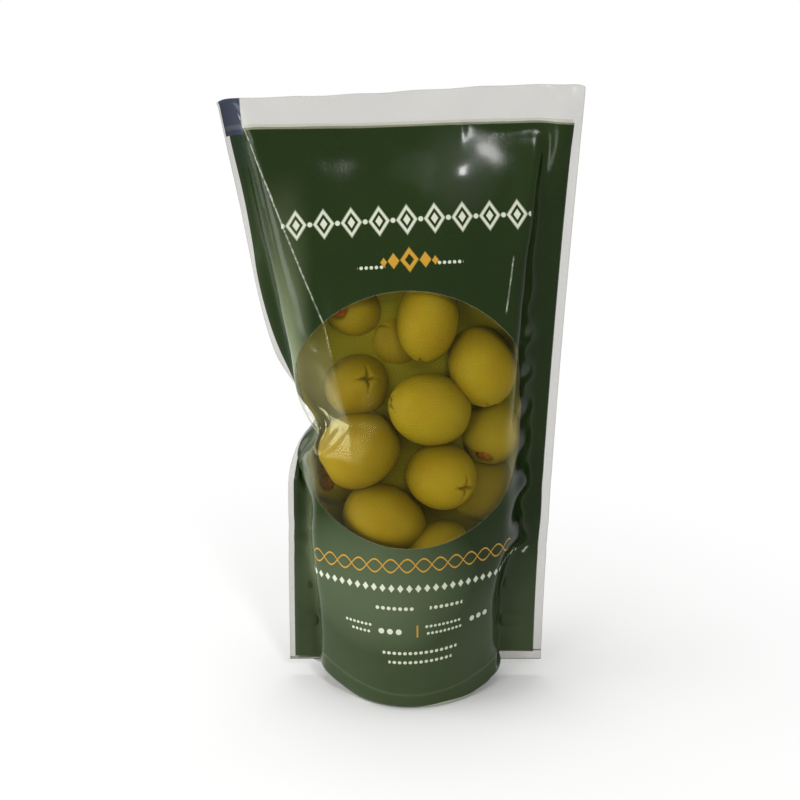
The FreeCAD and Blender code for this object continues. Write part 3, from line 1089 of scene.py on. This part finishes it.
olive_skin, shader, start = new_material("olive_skin", IOR=1.4, Specular_IOR_Level=WET_GLOSS)
blotches = noise_at(start, object_place(start), 90.0, 3.0)
share = (blotches * 1.2 - 0.1 + attribute(start, "tone") * 0.25).most(0).least(1)
skin = share.mix(colour(146, 128, 20), colour(130, 102, 5))
feed(start, shader, Base_Color=veiled(start, skin), Roughness=0.38 + 0.2 * blotches)
feed(start, shader, Normal=bumped(start, blotches, 0.2, 0.0008))
olives.data.materials.append(olive_skin)

# %% Pimiento
pepper, shader, start = new_material("pepper", IOR=1.4, Specular_IOR_Level=WET_GLOSS)
grain = noise_at(start, object_place(start), 1200.0, 2.0)
red = grain.mix(colour(150, 48, 8), colour(168, 72, 18))
feed(start, shader, Base_Color=veiled(start, red), Roughness=0.35 + 0.1 * grain)
feed(start, shader, Normal=bumped(start, grain, 0.4, 0.0004))
pimientos.data.materials.append(pepper)

# %% Brine
cloudy, shader, start = new_material("cloudy_brine", IOR=1.33, Specular_IOR_Level=WET_GLOSS)
place = object_place(start)
swirl = noise_at(start, place, 30.0, 3.0)
parts = start.node("ShaderNodeSeparateXYZ", None, Vector=place)
# The brine's upper part is painted lighter, as painted light falling from above.
upper = start.wire(parts.outputs[2]).above(0.1, 0.03)
tone = (0.55 * upper + 0.5 * swirl).least(1).mix(colour(66, 56, 0), colour(108, 101, 12))
feed(start, shader, Base_Color=tone, Roughness=0.5 + 0.2 * swirl)
brine.data.materials.append(cloudy)

# %% [markdown]
# ## Stage, light and camera
# A pale floor, a white surround and five soft lamps. The surround shows white to the camera and to
# mirrors, but lights the pouch much less than white would. Three lamps stand at the left and make the
# pale sheen on that side. A small one in front makes the bright spot under the top weld, and one above
# lights the shoulders. The camera stands half a metre away and looks down by 18 degrees.

# %% Floor and world
FLOOR_HALF, SHADOW_END = 3.0, 0.12  # in metres; the floor is plain white from there on
AMBIENT = 0.28


def seen_directly(start):
    """1 for rays from the camera, from a mirror or through glass, which all show the white surround."""
    path = start.node("ShaderNodeLightPath")
    kinds = ("Camera", "Glossy", "Transmission")
    camera, mirror, glass = (start.wire(path.outputs[f"Is {kind} Ray"]) for kind in kinds)
    return camera.most(mirror).most(glass)


floor_mesh = bpy.data.meshes.new("floor")
around = np.array([(-1, -1, 0), (1, -1, 0), (1, 1, 0), (-1, 1, 0)]) * FLOOR_HALF
floor_mesh.from_pydata(around.tolist(), [], [(0, 1, 2, 3)])
floor = show("floor", floor_mesh)
floor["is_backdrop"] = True
pale, shader, start = new_material("pale_floor", Roughness=0.7)
shader.inputs["Base Color"].default_value = (0.86, 0.86, 0.85, 1)
length = start.node("ShaderNodeVectorMath", {"operation": "LENGTH"}, i0=object_place(start))
far = start.wire(length.outputs["Value"]).above(SHADOW_END, 0.1)
white = start.node("ShaderNodeEmission", None, Strength=1.0)
blend = start.node("ShaderNodeMixShader", None, Fac=seen_directly(start) * far)
pale.node_tree.links.new(shader.outputs[0], blend.inputs[1])
pale.node_tree.links.new(white.outputs[0], blend.inputs[2])
pale.node_tree.links.new(blend.outputs[0], pale.node_tree.nodes["Material Output"].inputs["Surface"])
floor.data.materials.append(pale)

world = bpy.data.worlds.new("surround")
bpy.context.scene.world = world
world.use_nodes = True
seen = seen_directly(Wire(world.node_tree, None))
background = world.node_tree.nodes["Background"]
background.inputs["Color"].default_value = (1, 1, 1, 1)
world.node_tree.links.new((seen * (1 - AMBIENT) + AMBIENT).socket, background.inputs["Strength"])


# %% Lamps
LAMP_AIM = Vector((0, 0, 0.1))
# Each lamp: its place, its width and its height in metres, and its power in watts.
LAMPS = {
    "left_window": ((-0.9, -0.65, 0.75), 1.2, 1.2, 4),
    "left_side": ((-1.05, -0.1, 0.25), 0.8, 0.8, 10),
    "front_left": ((-0.68, -0.87, 0.15), 0.42, 0.42, 4.5),
    "front_streak": ((0.34, -0.99, 0.77), 0.16, 0.26, 4.5),
    "above": ((0.0, 0.15, 1.3), 0.8, 0.8, 8),
}


def face(shown, place, aim):
    """Puts a lamp or camera at a place and turns it to face a point, upright."""
    shown.location = place
    shown.rotation_euler = (aim - Vector(place)).to_track_quat("-Z", "Y").to_euler()


for name, (place, width, height, power) in LAMPS.items():
    lamp = bpy.data.lights.new(name, "AREA")
    lamp.shape = "RECTANGLE"
    lamp.size, lamp.size_y, lamp.energy = width, height, power
    face(show(name, lamp), place, LAMP_AIM)
print("lamps:", len(LAMPS))

# %% Camera
DISTANCE, LOOK_DOWN, AIM = 0.4987, np.radians(18), Vector((0, 0, 0.1045))
camera_data = bpy.data.cameras.new("camera")
camera_data.lens, camera_data.sensor_width = 65.5, 36
camera = show("camera", camera_data)
face(camera, AIM + DISTANCE * Vector((0, -np.cos(LOOK_DOWN), np.sin(LOOK_DOWN))), AIM)
bpy.context.scene.camera = camera
bpy.context.scene.view_settings.view_transform = "Standard"

# %% [markdown]
# ## Sizes and the end
# Film bulges past the CAD solid by a little. The corners of both boxes are gathered in one list.

# %% Gather the corners of both boxes
corners = [[float(part) for part in corner] for box in (cad_box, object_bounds()) for corner in box]
